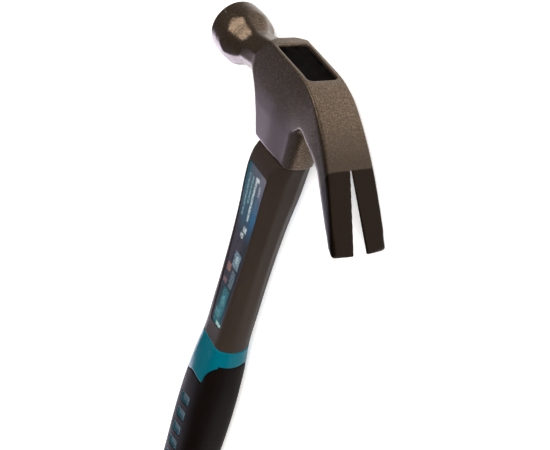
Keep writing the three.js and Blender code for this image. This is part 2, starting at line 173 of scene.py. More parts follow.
class Nodes:
    """A short way to write a procedural material."""

    def __init__(self, name):
        self.material = bpy.data.materials.new(name)
        self.material.use_nodes = True
        self.tree = self.material.node_tree
        self.shader = self.tree.nodes["Principled BSDF"]
        self.coordinates = self.node("ShaderNodeTexCoord").outputs["Object"]

    def node(self, kind, inputs=None, **settings):
        made = self.tree.nodes.new(kind)
        for key, value in settings.items():
            setattr(made, key, value)
        for key, value in (inputs or {}).items():
            self.put(made.inputs[key], value)
        return made

    def put(self, socket, value):
        if isinstance(value, bpy.types.NodeSocket):
            self.tree.links.new(value, socket)
        else:
            socket.default_value = value

    def set(self, **inputs):
        for key, value in inputs.items():
            self.put(self.shader.inputs[key.replace("_", " ")], value)

    def noise(self, size_mm, detail=2.0, roughness=0.5, stretch=(1, 1, 1), offset=(0, 0, 0)):
        """Noise with features of about that size, longer along an axis by its stretch."""
        scale = [1 / (size_mm * MM * s) for s in stretch]
        mapped = self.node(
            "ShaderNodeMapping", {"Vector": self.coordinates, "Scale": scale, "Location": offset}
        ).outputs[0]
        inputs = {"Vector": mapped, "Scale": 1.0, "Detail": detail, "Roughness": roughness}
        return self.node("ShaderNodeTexNoise", inputs).outputs["Fac"]

    def ramp(self, value, *stops):
        made = self.node("ShaderNodeValToRGB", {"Fac": value})
        elements = made.color_ramp.elements
        while len(elements) < len(stops):
            elements.new(0.5)
        for element, (position, colour) in zip(elements, stops):
            element.position = position
            element.color = (*colour, 1) if isinstance(colour, tuple) else (colour, colour, colour, 1)
        return made.outputs["Color"]

    def mix(self, share, first, second):
        made = self.node("ShaderNodeMix", data_type="RGBA")
        self.put(made.inputs["Factor"], share)
        for socket, value in ((made.inputs[6], first), (made.inputs[7], second)):
            self.put(socket, (*value, 1) if isinstance(value, tuple) else value)
        return made.outputs[2]

    def math(self, operation, a, b=0.0, clamp=False):
        made = self.node("ShaderNodeMath", operation=operation, use_clamp=clamp)
        self.put(made.inputs[0], a)
        self.put(made.inputs[1], b)
        return made.outputs[0]

    def span(self, value, low, high, to_low=0.0, to_high=1.0):
        inputs = {"Value": value, "From Min": low, "From Max": high, "To Min": to_low, "To Max": to_high}
        return self.node("ShaderNodeMapRange", inputs).outputs["Result"]

    def axis(self, letter):
        return self.node("ShaderNodeSeparateXYZ", {"Vector": self.coordinates}).outputs[letter]

    def bump(self, height, depth_mm, strength=1.0, under=None):
        inputs = {"Height": height, "Distance": depth_mm * MM, "Strength": strength}
        if under is not None:
            inputs["Normal"] = under
        return self.node("ShaderNodeBump", inputs).outputs["Normal"]


# Where the head's finish changes, in millimetres.
PAINTED_SHADE_FROM, PAINTED_SHADE_TO = 30.0, 46.0  # behind the axis, painted shade darkens the coat towards the ground part of the claws
PAINTED_SHEEN_FROM, PAINTED_SHEEN_TO = 19.0, 30.0  # below the top of the head, a painted lilac sheen lightens the lower cheeks
PAINTED_SHEEN_REAR, PAINTED_SHEEN_FRONT = 17.0, 12.0  # behind the axis, the painted sheen ends before the rear of the eye block
GROUND_FROM = 48.0  # behind the axis, the claws are ground smooth
GROUND_EDGE = 0.5
BARE_DEPTH = 0.25  # how deep the striking face is bare


def powder_coat():
    """Bronze-grey metallic powder coat with a fine grain, ground smooth on the claws and bare on the face;
    painted shade on the claws' crown, a painted lilac sheen on the lower cheeks, and lighter edges that are
    partly wear and partly painted highlight.
    """
    m = Nodes("powder_coated_steel")
    grain = m.noise(0.8, detail=3, roughness=0.7)
    fleck = m.noise(0.42, detail=1, offset=(3, 1, 7))
    cloud = m.noise(14, detail=3, offset=(5, 2, 1))
    coat = m.ramp(
        grain,
        (0.32, (0.039, 0.0265, 0.0185)),
        (0.5, (0.087, 0.061, 0.0435)),
        (0.68, (0.168, 0.12, 0.084)),
    )
    coat = m.mix(m.span(cloud, 0.35, 0.65, 0.0, 0.3), coat, (0.085, 0.065, 0.05))
    coat = m.mix(m.span(fleck, 0.64, 0.72, 0.0, 0.6), coat, (0.36, 0.29, 0.21))
    top, axis = float(ORIGIN[0]), float(ORIGIN[1])
    # painted shade: the lower crown of the claw is darkened where it reflects the dimmer floor near the
    # hammer
    painted_shade = m.span(m.axis("Y"), axis - PAINTED_SHADE_FROM * MM, axis - PAINTED_SHADE_TO * MM, 0.0, 0.8)
    coat = m.mix(painted_shade, coat, (0.04, 0.029, 0.021))
    # painted sheen: a pale lilac on the lower cheeks stands in for a reflection of cool light
    before_rear = m.span(m.axis("Y"), axis - PAINTED_SHEEN_REAR * MM, axis - PAINTED_SHEEN_FRONT * MM)
    below_top = m.span(m.axis("X"), top - PAINTED_SHEEN_FROM * MM, top - PAINTED_SHEEN_TO * MM, 0.0, 0.8)
    painted_sheen = m.math("MULTIPLY", before_rear, below_top)
    coat = m.mix(painted_sheen, coat, (0.24, 0.2, 0.225))
    ground_from = axis - GROUND_FROM * MM
    wander = m.span(m.noise(3.0), 0.0, 1.0, -0.25 * MM, 0.25 * MM)
    across = m.math("ADD", m.axis("Y"), wander)
    ground = m.span(across, ground_from, ground_from - GROUND_EDGE * MM)
    rubbed = m.ramp(grain, (0.3, (0.006, 0.0032, 0.0017)), (0.7, (0.0175, 0.01, 0.0062)))
    colour = m.mix(ground, coat, rubbed)
    # lighter edges: partly wear of the coat, partly a painted highlight along the rims
    edge_sharpness = m.node("ShaderNodeNewGeometry").outputs["Pointiness"]
    edge = m.math("MULTIPLY", m.span(edge_sharpness, 0.54, 0.62), m.span(cloud, 0.35, 0.6, 0.35, 1.0), clamp=True)
    colour = m.mix(m.math("MULTIPLY", edge, 0.6), colour, (0.34, 0.29, 0.25))
    face_at = axis + (FACE_REACH - BARE_DEPTH) * MM
    bare = m.span(m.axis("Y"), face_at, face_at + 0.1 * MM)
    scratch = m.noise(0.35, detail=3, stretch=(1, 1, 14))
    steel = m.ramp(scratch, (0.3, (0.3, 0.29, 0.28)), (0.7, (0.46, 0.45, 0.43)))
    m.set(
        Base_Color=m.mix(bare, colour, steel),
        Metallic=m.math("MAXIMUM", bare, m.span(grain, 0.3, 0.7, 0.7, 0.95)),
        Roughness=m.math("ADD", m.span(grain, 0.25, 0.75, 0.28, 0.37), m.math("MULTIPLY", ground, 0.04)),
        Specular_IOR_Level=0.35,
    )
    fine = m.bump(grain, 0.07, 0.5)
    m.set(Normal=m.bump(fleck, 0.04, 0.4, fine))
    return m.material


def moulded(name, dark, light, roughness, grain_mm, grain_depth, **extra):
    """Moulded plastic or rubber: a fine texture from the mould, cloudy colour and rubbed places."""
    m = Nodes(name)
    texture = m.noise(grain_mm, detail=3, roughness=0.6)
    cloud = m.noise(18, detail=4, roughness=0.6, stretch=(2, 1, 1), offset=(2, 4, 3))
    scuff = m.noise(1.3, detail=4, roughness=0.7, stretch=(9, 1, 1), offset=(8, 1, 2))
    cloudy, textured = m.math("MULTIPLY", cloud, 0.5), m.math("MULTIPLY", texture, 0.5)
    colour = m.ramp(m.math("ADD", cloudy, textured), (0.3, dark), (0.7, light))
    brighter = tuple(min(1.0, 1.35 * c + 0.006) for c in light)
    colour = m.mix(m.span(scuff, 0.66, 0.8, 0.0, 0.5), colour, brighter)
    edge_sharpness = m.span(m.node("ShaderNodeNewGeometry").outputs["Pointiness"], 0.53, 0.6, 0.0, 0.5)
    colour = m.mix(m.math("MULTIPLY", edge_sharpness, m.span(cloud, 0.3, 0.6, 0.4, 1.0)), colour, brighter)
    smooth = m.span(cloud, 0.3, 0.7, roughness - 0.05, roughness + 0.06)
    scuffed = m.span(scuff, 0.6, 0.8, 0, 0.1)
    m.set(Base_Color=colour, Roughness=m.math("ADD", smooth, scuffed), **extra)
    m.set(Normal=m.bump(texture, grain_depth, 0.5))
    return m.material


def epoxy_resin():
    """Poured black resin with a few bubbles."""
    m = Nodes("epoxy")
    swirl = m.noise(5, detail=3)
    bubbles = m.node("ShaderNodeTexVoronoi", {"Vector": m.coordinates, "Scale": 420.0}).outputs["Distance"]
    pits = m.span(bubbles, 0.06, 0.2)
    m.set(
        Base_Color=m.ramp(swirl, (0.35, (0.0012, 0.001, 0.001)), (0.7, (0.005, 0.0042, 0.004))),
        Roughness=m.span(swirl, 0.3, 0.7, 0.4, 0.6),
        Specular_IOR_Level=0.004,
        Normal=m.bump(pits, 0.2, 0.6, m.bump(swirl, 0.4, 0.6)),
    )
    return m.material


def fibreglass():
    """Pultruded rod: pale resin with glass strands along it."""
    m = Nodes("fibreglass")
    strands = m.noise(0.5, detail=4, roughness=0.7, stretch=(60, 1, 1))
    cloud = m.noise(12, detail=2)
    colour = m.ramp(strands, (0.3, (0.42, 0.34, 0.17)), (0.7, (0.72, 0.64, 0.42)))
    m.set(
        Base_Color=m.mix(m.span(cloud, 0.3, 0.7, 0, 0.3), colour, (0.5, 0.42, 0.25)),
        Roughness=m.span(strands, 0.3, 0.7, 0.35, 0.55),
        Normal=m.bump(strands, 0.1, 0.6),
    )
    return m.material


def printed_label():
    """A printed sticker under clear film: a blue fade with a painted grey-lilac sheen at its upper rear
    corner, fine rules, and a row of plain blocks. U runs from its top to its bottom and V across it, from its
    front edge to its rear edge."""
    m = Nodes("printed_label")
    uv = m.node("ShaderNodeTexCoord").outputs["UV"]
    parts = m.node("ShaderNodeSeparateXYZ", {"Vector": uv})
    down, over = parts.outputs["X"], parts.outputs["Y"]
    middle = m.ramp(
        down,
        (0.0, (0.07, 0.08, 0.11)),
        (0.07, (0.045, 0.068, 0.095)),
        (0.16, (0.018, 0.06, 0.09)),
        (0.3, (0.008, 0.045, 0.08)),
        (0.38, (0.014, 0.024, 0.038)),
        (0.46, (0.02, 0.0155, 0.024)),
        (0.62, (0.016, 0.016, 0.023)),
        (0.8, (0.006, 0.026, 0.035)),
        (1.0, (0.0, 0.085, 0.11)),
    )
    # the grey-lilac at the top of the rear strip is a painted sheen over the print
    rear = m.ramp(
        down,
        (0.0, (0.12, 0.115, 0.14)),
        (0.13, (0.05, 0.075, 0.12)),
        (0.26, (0.0, 0.075, 0.17)),
        (0.34, (0.0, 0.035, 0.08)),
        (0.42, (0.003, 0.007, 0.012)),
        (0.78, (0.002, 0.009, 0.016)),
        (0.95, (0.0, 0.04, 0.062)),
    )
    front = m.ramp(
        down,
        (0.15, (0.015, 0.06, 0.09)),
        (0.36, (0.024, 0.018, 0.028)),
        (1.0, (0.012, 0.016, 0.024)),
    )
    colour = m.mix(m.span(over, 0.62, 0.85), middle, rear)
    colour = m.mix(m.span(over, 0.28, 0.08), colour, front)

    def band(value, low, high, soft):
        """1 between low and high."""
        rise = m.span(value, low - soft, low + soft)
        fall = m.span(value, high - soft, high + soft, 1.0, 0.0)
        return m.math("MULTIPLY", rise, fall)

    broken = m.span(m.noise(1.1, detail=3), 0.38, 0.56, 0.15, 0.95)
    for start, end, low, high, tint in PRINT:
        shape = m.math("MULTIPLY", band(down, start, end, 0.004), band(over, low, high, 0.02))
        colour = m.mix(m.math("MULTIPLY", shape, broken), colour, tint)

    scratch = m.noise(0.8, detail=3, stretch=(12, 1, 1))
    m.set(
        Base_Color=colour,
        Roughness=m.span(scratch, 0.3, 0.75, 0.25, 0.4),
        Specular_IOR_Level=0.07,
        Normal=m.bump(scratch, 0.02, 0.3),
    )
    return m.material


# What is printed on the sticker: start and end down it, low and high across it, colour. First come the fine
# rules and marks of its upper half, then the blocks of its lower half.
PRINT = [
    (0.05, 0.3, 0.17, 0.25, (0.12, 0.24, 0.28)),
    (0.05, 0.21, 0.35, 0.43, (0.13, 0.26, 0.3)),
    (0.04, 0.3, 0.53, 0.63, (0.4, 0.5, 0.53)),
    (0.035, 0.055, 0.53, 0.72, (0.5, 0.52, 0.58)),
    (0.06, 0.12, 0.77, 0.87, (0.26, 0.26, 0.33)),
    (0.335, 0.37, 0.5, 0.7, (0.45, 0.52, 0.55)),
    (0.38, 0.41, 0.42, 0.6, (0.45, 0.52, 0.55)),
    (0.5, 0.6, 0.42, 0.86, (0.13, 0.22, 0.28)),
    (0.52, 0.57, 0.56, 0.74, (0.3, 0.4, 0.45)),
    (0.6, 0.65, 0.14, 0.42, (0.24, 0.12, 0.1)),
    (0.62, 0.73, 0.55, 0.84, (0.08, 0.13, 0.165)),
    (0.7, 0.73, 0.1, 0.4, (0.2, 0.1, 0.11)),
    (0.75, 0.93, 0.35, 0.8, (0.015, 0.14, 0.17)),
    (0.8, 0.87, 0.45, 0.65, (0.08, 0.24, 0.27)),
    (0.9, 0.95, 0.2, 0.6, (0.05, 0.2, 0.23)),
    (0.972, 1.0, 0.5, 1.0, (0.4, 0.62, 0.58)),
]

MATERIALS = {
    "head": powder_coat(),
    "epoxy": epoxy_resin(),
    "fibreglass": fibreglass(),
    "jacket": moulded(
        "grey_plastic",
        dark=(0.02, 0.0138, 0.0112),
        light=(0.033, 0.0232, 0.0188),
        roughness=0.45,
        grain_mm=0.45,
        grain_depth=0.05,
        Specular_IOR_Level=0.07,
    ),
    "teal": moulded(
        "teal_plastic",
        dark=(0.0, 0.07, 0.104),
        light=(0.0, 0.106, 0.144),
        roughness=0.24,
        grain_mm=0.6,
        grain_depth=0.02,
        Specular_IOR_Level=0.06,
    ),
    "rubber": moulded(
        "black_rubber",
        dark=(0.0028, 0.0016, 0.0014),
        light=(0.0056, 0.0034, 0.003),
        roughness=0.55,
        grain_mm=0.4,
        grain_depth=0.06,
        Specular_IOR_Level=0.04,
    ),
    "inlay": moulded(
        "teal_inlay",
        dark=(0.004, 0.03, 0.042),
        light=(0.01, 0.05, 0.066),
        roughness=0.45,
        grain_mm=0.6,
        grain_depth=0.02,
        Specular_IOR_Level=0.07,
    ),
    "label": printed_label(),
}

# --- head ------------------------------------------------------------------------------------------------

POLL_DROP = 18.5  # top of the head down to the bell's axis
FLARE_DROP = 14.5  # and to the flare's, which slopes to the bell's between these two places
FLARE_UNTIL = 24.0
DROPPED_FROM = 48.0
NECK_FLAT = 9.1  # the neck's axis to its eight flats, at the thinnest place
NECK_AT = 40.5
BELL_RADIUS = 13.9
BELL_START = 54.0  # where the flats have run out into the bell
BELL_TAPER_FROM = 58.0
TRIM_END = 32.5  # the planes of the cheeks and of the top end here, on the neck
FACE_CHAMFER = 1.8
BLOCK_HEIGHT = 45.4
BLOCK_FRONT = 12.0
BLOCK_REAR = 17.0
CHEEK_TOP = 10.1
CHEEK_MIDDLE = 10.4
CHEEK_MOUTH = 9.5
SLOT_ROOT = 48.25
SLOT_ROOT_DROP = 22.1
SLOT_RUN = (28.9, 24.25)  # from the root of the slot to the tips, down and to the rear
SLOT_HALF_GAP = 3.7
SLOT_BEVEL = 0.75
EYE_FRONT = 16.3
EYE_MOUTH_FRONT = 10.2
EYE_REAR = 12.8
EYE_HALF_WIDTH = 7.7
EYE_BULGE = 0.3  # the eye is wider at its front
EYE_CORNER = 2.4
OUTSIDE = -9.0  # a distance that leaves a cut without effect
NECK_EDGE = 1.1  # rounding between the neck's flats
HEAD_STEP = 0.4  # spacing of the grid that holds the head's distance field


def head_field(x, y, z):
    """Distance to the forged head: x down the handle, y to the striking face, z across the cheeks."""
    side = outline(
        (0, BLOCK_FRONT),
        (-BLOCK_HEIGHT, BLOCK_FRONT),
        (-BLOCK_HEIGHT, -BLOCK_REAR - 0.4),
        (-27.5, -BLOCK_REAR - 1.2),
        bezier((-27.5, -BLOCK_REAR - 1.2), (-22.5, -17.6), (-18.4, -18.6), (-21.9, -25.3)),
        bezier((-21.9, -25.3), (-23.6, -31.5), (-28, -40.4)),
        (-28, -40.4),
        (-49.6, -64.6),
        (-51.4, -CLAW_REACH + 2.6),
        (-49.2, -CLAW_REACH),
        bezier((-49.2, -CLAW_REACH), (-18.5, -48.5), (0, -28), (0, -8), count=48),
        (0, -8),
    )
    flat_view = polygon_distance(side, x[:, :, 0], y[:, :, 0])
    side_view = moved_along_y(flat_view, y[0, :, 0], rear_rounding(x, y, z))
    under_top = np.where(y < TRIM_END, x, OUTSIDE)
    flare = np.maximum(common(poll_distance(x, y, z), under_top, 0.5), -BLOCK_HEIGHT - x)
    crowned = side_view + 0.4 * (z / 12) ** 2 * smooth_share(-y, 16, 34)
    body = np.minimum(crowned, flare)

    cheeks = np.abs(z) - head_half_width(x, y)
    # the claws' sides swell a little between the crown and the underside
    swell = 0.5 * np.clip(1 + side_view / 3.5, 0, 1) ** 2 * smooth_share(-y, 22, 38)
    cheeks = np.where(y > TRIM_END, OUTSIDE, (cheeks + swell) * 0.98)
    scoop = np.exp(-((x + 23.5) ** 2 + (y + 19.5) ** 2) / 11)
    edge_radius = 0.45 + 0.5 * smooth_share(-y, 20, 32) + 2.2 * scoop + 0.7 * smooth_share(-x, 42, 45)
    body = common(body, cheeks, edge_radius)

    set_back = 1.7 * np.clip((np.abs(z) - SLOT_HALF_GAP) / (HALF_WIDTH - SLOT_HALF_GAP), 0, 1)
    body = common(body, -CLAW_REACH + set_back - y, 0.4)
    ground = (x + 21.9) * 0.658 - (y + 48) * 0.753 - 0.02
    body = common(body, np.where(y < -44, ground, OUTSIDE), 0.25)
    body = common(body, -slot_distance(x, y, z), 0.3)
    return common(body, -eye_distance(x, y, z, 0), 0.45)


def head_half_width(x, y):
    """Half the width of the head: flat cheeks that narrow to the top and the mouth, then the flaring claw."""
    heights = [-BLOCK_HEIGHT, -30, -23, -17, -8, 0]
    belly = [CHEEK_MIDDLE - 0.08, CHEEK_MIDDLE, CHEEK_MIDDLE - 0.1]
    cheek = np.interp(x, heights, [CHEEK_MOUTH, CHEEK_MOUTH + 0.72, *belly, CHEEK_TOP])
    cheek = cheek - 0.9 * smooth_share(-y, -4, 14) * smooth_share(-x, 8, 32)
    claw = CHEEK_TOP + 0.25 + 3.65 * (np.clip(-10 - y, 0, None) / (CLAW_REACH - 11.7)) ** 1.6
    share = smooth_share(-y, 12, 30)
    return cheek * (1 - share) + claw * share


def rear_rounding(x, y, z):
    """How far the eye block's rear face has moved in, below the claw: a shallow arc from cheek to cheek."""
    across = [0, 2.5, 5, 6.2, 7.5, 8.6, 10, 11]
    arc = np.interp(np.abs(z), across, [0, 0.15, 0.7, 1.25, 2.3, 3.6, 5.6, 7.5])
    below_claw = 1 - smooth_share(x, -27.5, -20.5)
    return arc * below_claw * smooth_share(y, -27, -19.5) * (1 - smooth_share(y, -6, 6))


def moved_along_y(flat, y_line, shift):
    """A field over x and y, carried along y by a shift that varies from point to point."""
    step = y_line[1] - y_line[0]
    source = np.clip((y_line[None, :, None] - shift - y_line[0]) / step, 0, len(y_line) - 1.001)
    lower = source.astype(int)
    part = source - lower
    row = np.arange(flat.shape[0])[:, None, None]
    return flat[row, lower] * (1 - part) + flat[row, lower + 1] * part


def poll_distance(x, y, z):
    """Distance to the flare, neck and bell: eight flats that run out into the round bell."""
    start = BLOCK_FRONT - 6
    to_neck = bezier((10.4, 27.2), (9.5, 28.6), (9.3, 33), (NECK_FLAT, NECK_AT))
    to_bell = bezier((NECK_FLAT, NECK_AT), (NECK_FLAT - 0.2, 43.4), (11.2, 46), (12.6, 49.4))
    flats = outline(
        (-60, start),
        (31, start),
        (31, BLOCK_FRONT),
        bezier((31, BLOCK_FRONT), (19.5, 15.2), (14, 22.2), (10.4, 27.2)),
        to_neck,
        to_bell,
        bezier((12.6, 49.4), (13.5, 51.7), (BELL_RADIUS, BELL_START), count=10),
        (BELL_RADIUS + 3, BELL_START + 4),
        (BELL_RADIUS + 3, FACE_REACH + 9),
        (-60, FACE_REACH + 9),
    )
    bell = outline(
        (-60, start),
        (45, start),
        (45, NECK_AT),
        (BELL_RADIUS, NECK_AT + 2),
        (BELL_RADIUS, BELL_TAPER_FROM),
        (BELL_RADIUS - 0.4, FACE_REACH - FACE_CHAMFER),
        (BELL_RADIUS - 0.4 - FACE_CHAMFER, FACE_REACH),
        (-60, FACE_REACH),
    )
    u = np.abs(x + FLARE_DROP + (POLL_DROP - FLARE_DROP) * smooth_share(y, FLARE_UNTIL, DROPPED_FROM))
    v = np.abs(z)
    flats_at = profile_lookup(flats)
    square = common(flats_at(u, y), flats_at(v, y), NECK_EDGE)
    eight_sided = common(square, flats_at((u + v) / math.sqrt(2), y), NECK_EDGE)
    return common(eight_sided, profile_lookup(bell)(np.sqrt(u**2 + v**2), y), 0.3)


def profile_lookup(profile):
    """A function of (reach, y) that gives the distance to a profile, read from a fine table."""
    step = 0.2
    across = np.arange(0, 60, step)
    along = np.arange(-76, 70, step)
    table = polygon_distance(profile, across[:, None], along[None, :])

    def distance(reach, y):
        i = np.clip(reach / step, 0, len(across) - 2)
        j = np.clip((y - along[0]) / step, 0, len(along) - 2)
        i0, j0 = i.astype(int), j.astype(int)
        fi, fj = i - i0, j - j0
        low = table[i0, j0] * (1 - fj) + table[i0, j0 + 1] * fj
        high = table[i0 + 1, j0] * (1 - fj) + table[i0 + 1, j0 + 1] * fj
        return low * (1 - fi) + high * fi

    return distance


def slot_distance(x, y, z):
    """Distance to the V-shaped nail slot, which widens towards the underside of the claw."""
    root_half_gap = 0.2
    run = math.hypot(*SLOT_RUN)
    down, rearward = -(x + SLOT_ROOT_DROP), -(y + SLOT_ROOT)
    along = (down * SLOT_RUN[0] + rearward * SLOT_RUN[1]) / run
    below = (down * SLOT_RUN[1] - rearward * SLOT_RUN[0]) / run
    half = root_half_gap + (SLOT_HALF_GAP - root_half_gap) * along / run
    bevelled = np.abs(z) - half - SLOT_BEVEL * np.maximum(below - 0.4, 0)
    return np.maximum(bevelled * 0.85, -along)


def eye_distance(x, y, z, clearance):
    """Distance to the eye through the head, whose front wall leans back towards the mouth."""
    front = EYE_FRONT + (EYE_MOUTH_FRONT - EYE_FRONT) * (-x / BLOCK_HEIGHT) - clearance
    rear = -EYE_REAR + clearance
    half = EYE_HALF_WIDTH - clearance + EYE_BULGE * smooth_share(y, -EYE_REAR, EYE_FRONT)
    u = np.abs(y - (front + rear) / 2) - (front - rear) / 2 + EYE_CORNER
    v = np.abs(z) - half + EYE_CORNER
    outside = np.sqrt(np.maximum(u, 0) ** 2 + np.maximum(v, 0) ** 2)
    return outside + np.minimum(np.maximum(u, v), 0) - EYE_CORNER


def build_head():
    below_block, around = 8.0, 1.1  # how far the grid reaches past the head
    lowest = (-BLOCK_HEIGHT - below_block, -CLAW_REACH - around, -HALF_WIDTH - around)
    highest = (around, FACE_REACH + around, HALF_WIDTH + around)
    spans = [np.arange(a, b + HEAD_STEP, HEAD_STEP) for a, b in zip(lowest, highest)]
    x, y, z = np.meshgrid(*spans, indexing="ij")
    points, faces = surface_of(head_field(x, y, z), lowest, HEAD_STEP)
    points = relaxed(points, faces, 2, 0.35)
    return new_piece(
        "forged_head", points, faces.tolist(), ["hammer_head"], MATERIALS["head"], 80
    )


# --- handle ----------------------------------------------------------------------------------------------

# distance below the top of the head, half-depth, half-width, how far the centre lies behind the axis
HANDLE = np.array(
    [
        (46.0, 14.1, 9.5, 1.9),
        (51, 14.3, 10.2, 0.7),
        (57, 14.2, 10.7, 0.1),
        (68, 13.9, 10.6, 0),
        (82, 13.0, 9.9, 0),
        (100, 12.35, 9.4, 0),
        (125, 12.2, 9.3, 0),
        (146, 12.6, 9.65, 0),
        (169, 13.3, 10.15, 0),
        (180, 14.3, 11.4, 0),
        (190, 15.2, 12.4, 0),
        (205, 16.2, 13.4, 0),
        (222, 16.7, 13.9, 0),
        (240, 16.8, 14, 0),
        (264, 16.4, 13.8, 0),
        (285, 16.3, 13.6, 0),
        (305, 17.0, 13.8, 0),
        (320, 17.9, 13.87, 0),
        (327, 17.4, 13.3, 0),
        (330, 15.5, 11.4, 0),
    ]
)
JACKET_TOP = 46.0
COLLAR_TOP = 169.0
COVER_LENGTH = 330.0
FACET_DEPTH = 0.31  # the corners of the eight-sided section, as shares cut off its half-depth and half-width
FACET_WIDTH = 0.66
GRIP_ROUNDNESS = 2.6  # power of the superellipse that the grip's section is
SOFT_FROM = 105.0  # the facets' edges soften between these distances
SOFT_TO = 168.0
ROUND_FROM = 172.0  # and the facets fade into the grip's section between these
ROUND_TO = 212.0
COVER_TOP_REAR = 179.5
COVER_TOP_SIDE = 196.0
COVER_TOP_FRONT = 202.0
LABEL_TOP = 57.0
LABEL_BOTTOM = 157.5
LABEL_TOP_HALF = 8.6
LABEL_BOTTOM_HALF = 5.0
LABEL_CORNER = 1.4


def sizes_at(distance):
    """Half-depth, half-width and set-back, on a smooth curve through the stations."""
    distance = np.asarray(distance, float)
    at, values = HANDLE[:, 0], HANDLE[:, 1:]
    gaps = np.diff(at)[:, None]
    slopes = np.diff(values, axis=0) / gaps
    inner = (slopes[:-1] * gaps[1:] + slopes[1:] * gaps[:-1]) / (gaps[1:] + gaps[:-1])
    tangents = np.vstack([slopes[:1], inner, slopes[-1:]])
    k = np.clip(np.searchsorted(at, distance, side="right") - 1, 0, len(at) - 2)
    width = (at[k + 1] - at[k])[..., None]
    t = np.clip((distance - at[k])[..., None] / width, 0, 1)
    a, b = values[k], values[k + 1]
    ta, tb = tangents[k] * width, tangents[k + 1] * width
    return (
        a * (2 * t**3 - 3 * t**2 + 1)
        + ta * (t**3 - 2 * t**2 + t)
        + b * (3 * t**2 - 2 * t**3)
        + tb * (t**3 - t**2)
    )


def rounded_octagon(cut=0.1, on_facet=20, on_corner=7):
    """Shares of half-depth and half-width around the section, with softened corners."""
    y, z = 1 - FACET_DEPTH, 1 - FACET_WIDTH
    corners = np.array([(1, -z), (1, z), (y, 1), (-y, 1), (-1, z), (-1, -z), (-y, -1), (y, -1)])
    points = []
    for n, corner in enumerate(corners):
        before, after = corners[n - 1], corners[(n + 1) % 8]
        start = corner + (before - corner) * cut / np.linalg.norm(before - corner)
        end = corner + (after - corner) * cut / np.linalg.norm(after - corner)
        points.append(bezier(start, corner, end, count=on_corner))
        next_start = after + (corner - after) * cut / np.linalg.norm(after - corner)
        points.append(bezier(end, next_start, count=on_facet))
    return np.vstack(points)


SECTION = rounded_octagon()
SOFT_SECTION = rounded_octagon(cut=0.3)
ROUND_SECTION = SECTION / (np.abs(SECTION) ** GRIP_ROUNDNESS).sum(1, keepdims=True) ** (1 / GRIP_ROUNDNESS)


def handle_ring(distance, inset):
    """A ring of the handle's surface, at one distance or at one for each of its points, moved in by inset."""
    distance = np.broadcast_to(np.asarray(distance, float), len(SECTION))
    size = sizes_at(distance)
    softness = smooth_share(distance, SOFT_FROM, SOFT_TO)[:, None]
    roundness = smooth_share(distance, ROUND_FROM, ROUND_TO)[:, None]
    share = SECTION * (1 - softness) + SOFT_SECTION * softness
    share = share * (1 - roundness) + ROUND_SECTION * roundness
    y = share[:, 0] * (size[:, 0] - inset) - size[:, 2]
    z = share[:, 1] * (size[:, 1] - inset)
    return np.stack([-distance, y, z], axis=1)


def cover_edge():
    """Distance of the grip cover's top edge around the section: highest at the rear, lowest at the front."""
    side = smooth_share(SECTION[:, 0], -0.8, -0.46)
    front = smooth_share(SECTION[:, 0], 0.2, 1)
    over_side = COVER_TOP_REAR + side * (COVER_TOP_SIDE - COVER_TOP_REAR)
    return over_side + front * (COVER_TOP_FRONT - COVER_TOP_SIDE)


def skin(rings):
    """Points and outward faces of a closed body through rings from the head to the butt."""
    count = len(rings[0])
    points = list(np.vstack(rings))
    faces = []
    for r in range(len(rings) - 1):
        for i in range(count):
            a, b = r * count + i, r * count + (i + 1) % count
            faces.append((a, a + count, b + count, b))
    for r, flip in ((0, False), (len(rings) - 1, True)):
        centre = len(points)
        points.append(np.mean(rings[r], axis=0))
        for i in range(count):
            a, b = r * count + i, r * count + (i + 1) % count
            faces.append((centre, b, a) if flip else (centre, a, b))
    return np.array(points), faces


def prism(outline_points, low, high):
    """An outline in x and y, extruded along z."""
    outline_points = np.asarray(outline_points, float)
    count = len(outline_points)
    points = np.vstack([np.column_stack([outline_points, np.full(count, z)]) for z in (low, high)])
    faces = [tuple(range(count))[::-1], tuple(range(count, 2 * count))]
    faces += [(i, (i + 1) % count, (i + 1) % count + count, i + count) for i in range(count)]
    return points, faces


def cut_away(piece, cutters):
    """Cuts prisms out of a piece."""
    for number, (points, faces) in enumerate(cutters):
        mesh = bpy.data.meshes.new(f"cutter_{number}")
        mesh.from_pydata(place(points).tolist(), [], faces)
        cutter = bpy.data.objects.new(f"cutter_{number}", mesh)
        bpy.context.scene.collection.objects.link(cutter)
        cut = piece.modifiers.new("cut", "BOOLEAN")
        cut.object = cutter
        cut.operation = "DIFFERENCE"
        cut.solver = "EXACT"
        bpy.context.view_layer.update()
        evaluated = piece.evaluated_get(bpy.context.evaluated_depsgraph_get())
        result = bpy.data.meshes.new_from_object(evaluated)
        piece.modifiers.clear()
        piece.data = result
        bpy.data.objects.remove(cutter)
    piece.data.shade_smooth()
    piece.data.set_sharp_from_angle(angle=math.radians(35))


def rounded_corners(points, radius, count=5):
    """A polygon with its corners rounded."""
    points = np.asarray(points, float)
    made = []
    for n, corner in enumerate(points):
        before, after = points[n - 1], points[(n + 1) % len(points)]
        start = corner + (before - corner) * radius / np.linalg.norm(before - corner)
        end = corner + (after - corner) * radius / np.linalg.norm(after - corner)
        made.append(np.vstack([bezier(start, corner, end, count=count), end[None]]))
    return np.vstack(made)


def label_half_width(distance):
    share = (distance - LABEL_TOP) / (LABEL_BOTTOM - LABEL_TOP)
    return LABEL_TOP_HALF + (LABEL_BOTTOM_HALF - LABEL_TOP_HALF) * share


def label_outline(margin):
    top, bottom = label_half_width(LABEL_TOP) + margin, label_half_width(LABEL_BOTTOM) + margin
    corners = [
        (-LABEL_TOP + margin, -top),
        (-LABEL_TOP + margin, top),
        (-LABEL_BOTTOM - margin, bottom),
        (-LABEL_BOTTOM - margin, -bottom),
    ]
    return rounded_corners(corners, LABEL_CORNER)


